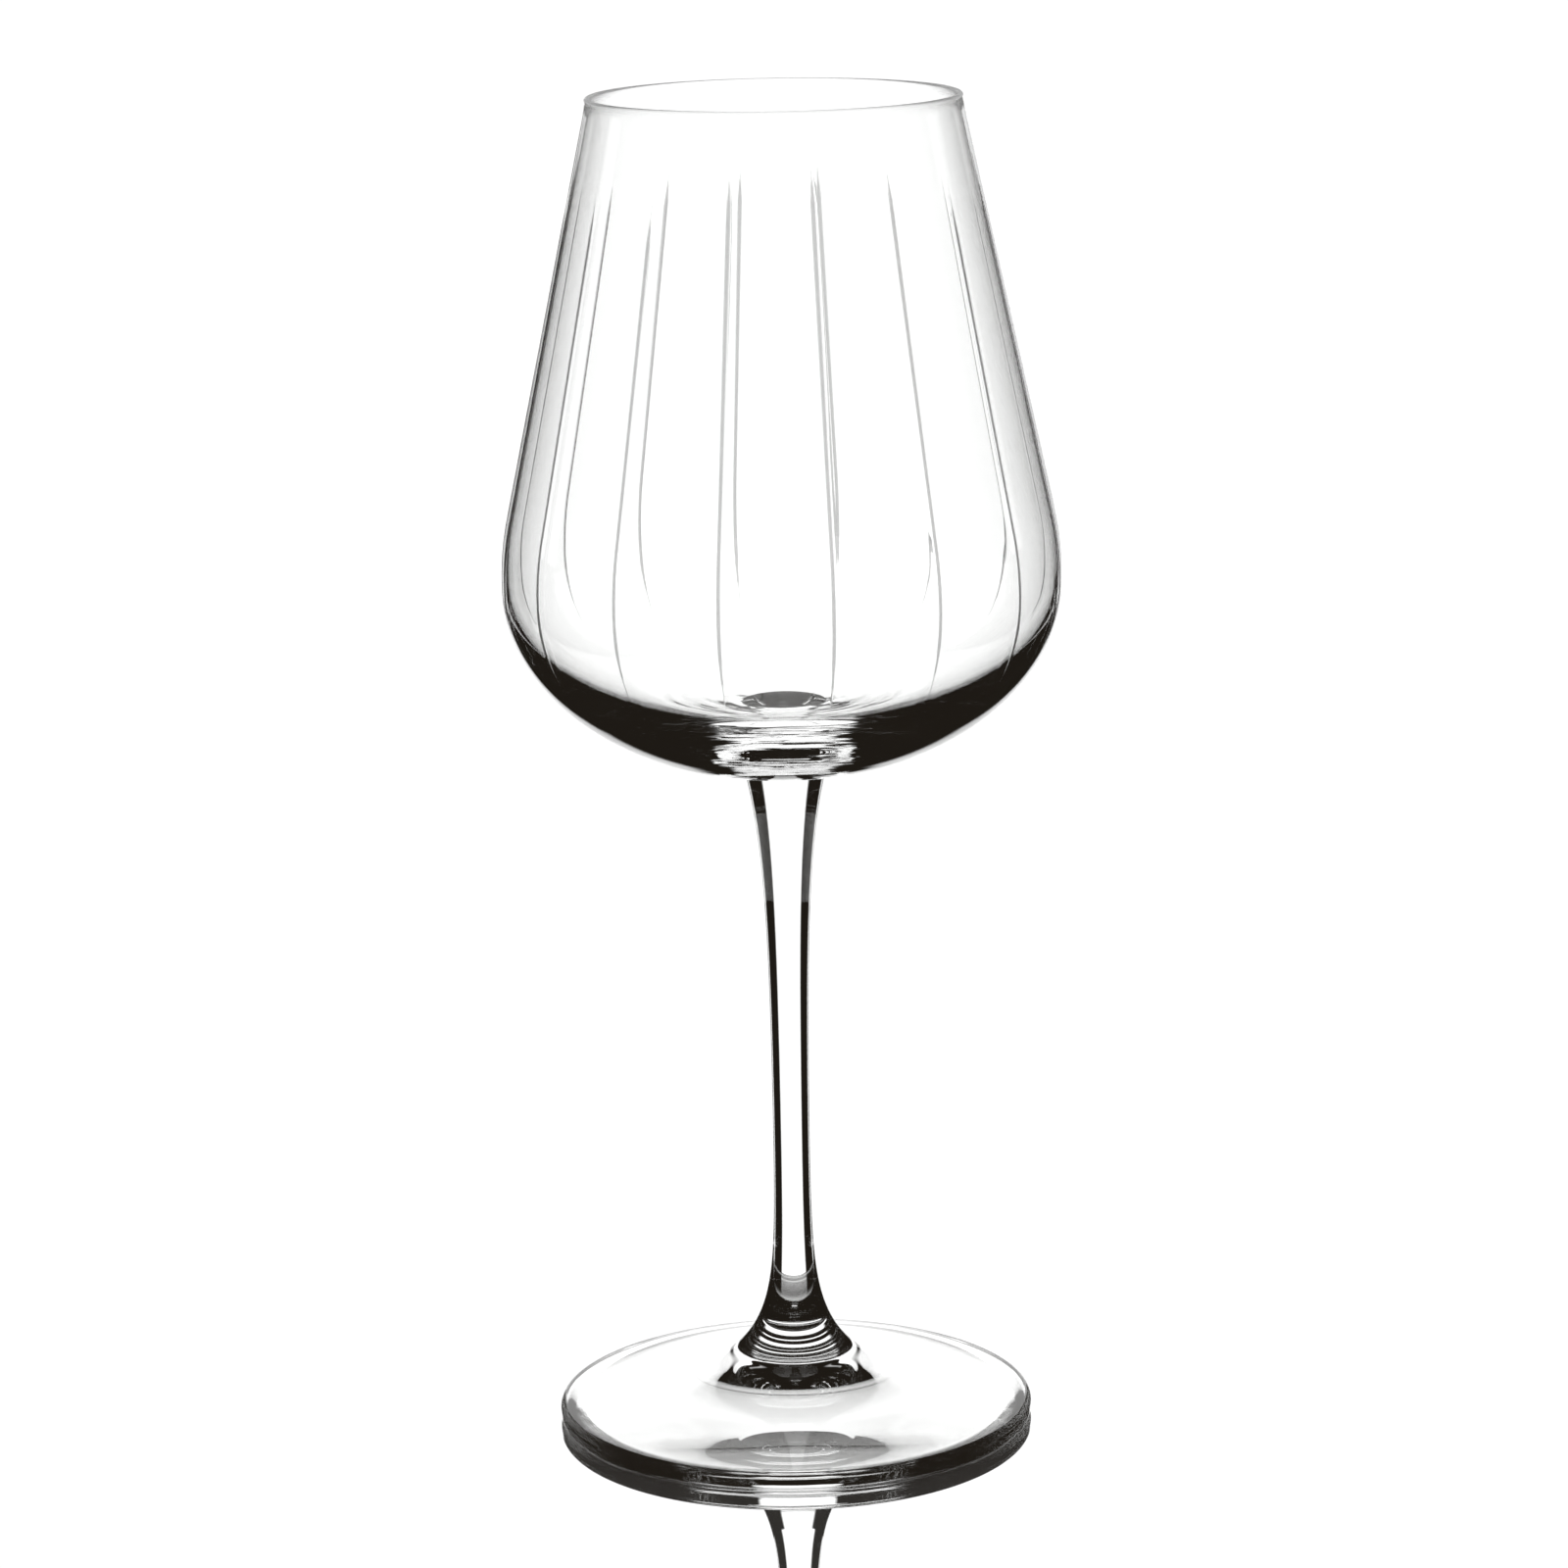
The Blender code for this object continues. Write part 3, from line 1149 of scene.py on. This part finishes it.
    def shade(self, bench: NodeBench, kinds: PathKinds) -> bpy.types.NodeSocket:
        """Adds how dark the studio is in each direction, as each kind of path sees it.

        Args:
            bench: The world's nodes.
            kinds: The kinds of path.

        Returns:
            A mask, 1 where the studio is dark.
        """
        turned = bench.add("ShaderNodeMapping", vector_type="VECTOR")
        bench.feed(turned.inputs["Vector"], bench.add("ShaderNodeTexCoord").outputs["Generated"])
        bench.feed(turned.inputs["Rotation"], (0.0, 0.0, -self.facing))
        way = bench.add("ShaderNodeSeparateXYZ")
        bench.feed(way.inputs[0], turned.outputs[0])
        aside = bench.math("ABSOLUTE", bench.math("ARCTAN2", way.outputs["X"], way.outputs["Y"]))
        up = bench.math("ARCSINE", way.outputs["Z"])
        top, soft = math.radians(self.backdrop_top), math.radians(self.top_softness)
        above = bench.ramp(up, top - soft, top + soft)
        closed = bench.all_of(above, bench.inverse(kinds.thin))
        start, blend = math.radians(self.overhead_start), math.radians(self.overhead_softness)
        overhead = bench.ramp(up, start - blend, start + blend, 1.0, 1.0 - self.overhead_light)
        long_end = self.long_path + 1.0
        spread = bench.ramp(kinds.turns, self.long_path, long_end, 1.0, 1.0 - self.long_light)
        shade = bench.all_of(kinds.wall, self.flag_shade(bench, aside, self.wall_flags))
        for kind, flags, ceiling, limit in (
            (kinds.stem, self.stem_flags, closed, bench.any_of(overhead, kinds.fused)),
            (kinds.deep, self.deep_flags, above, spread),
            (kinds.sheen, self.sheen_flags, above, 1.0),
        ):
            dark = bench.any_of(ceiling, self.flag_shade(bench, aside, flags))
            dark = bench.math("MINIMUM", dark, limit)
            shade = bench.math("ADD", shade, bench.all_of(kind, dark))
        return shade

    def world(self) -> bpy.types.World:
        """Lights the studio: white all round, apart from the flags that the glass alone sees.

        Returns:
            The world.
        """
        world = bpy.data.worlds.new("white_studio")
        world.use_nodes = True
        world.node_tree.nodes.clear()
        bench = NodeBench(world.node_tree)
        kinds = self.path_kinds(bench)
        colour = bench.add("ShaderNodeMix", data_type="RGBA")
        bench.feed(colour.inputs["Factor"], bench.all_of(self.shade(bench, kinds), kinds.met))
        bench.feed(colour.inputs["A"], self.white)
        bench.feed(colour.inputs["B"], self.flag_colour)
        unseen = bench.ramp(kinds.met, 0.0, 1.0, self.fill, self.glass_light)
        light = bench.add("ShaderNodeBackground")
        bench.feed(light.inputs["Color"], colour.outputs["Result"])
        bench.feed(light.inputs["Strength"], bench.any_of(kinds.seen, unseen))
        bench.feed(bench.add("ShaderNodeOutputWorld").inputs["Surface"], light.outputs[0])
        return world

    def build(self) -> None:
        """Sets up the table, the light and the paths that light may take through the glass."""
        scene = bpy.context.scene
        self.table()
        scene.world = self.world()
        scene.view_settings.view_transform = "Standard"
        for kind in ("max_bounces", "glossy_bounces", "transmission_bounces", "transparent_max_bounces"):
            setattr(scene.cycles, kind, self.bounces)


def main() -> None:
    """Builds the studio and the three pieces of the glass."""
    logging.basicConfig(level=logging.INFO, format="%(message)s")
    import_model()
    Studio().build()
    PhotoCamera().place()
    ripple, handling = ripple_group(), handling_group()
    joint = FusedJoint().material()
    stem = Stem(GlassPiece.STEM, CrystalFinish("stem_crystal_clear"))
    foot = Foot(GlassPiece.FOOT, CrystalFinish("foot_crystal_clear"), stem)
    bowl_finish = CrystalFinish(
        "bowl_crystal_clear",
        ripple_height=0.00055,
        ripple_top=0.1150,
        ripple_fade=0.0032,
        rings_per_metre=300.0,
        breaks_per_ring=1.5,
    )
    bowl = Bowl(GlassPiece.BOWL, bowl_finish, stem)
    for piece in (foot, stem, bowl):
        piece.place(piece.finish.material(ripple, handling), joint)


if __name__ == "__main__":
    main()
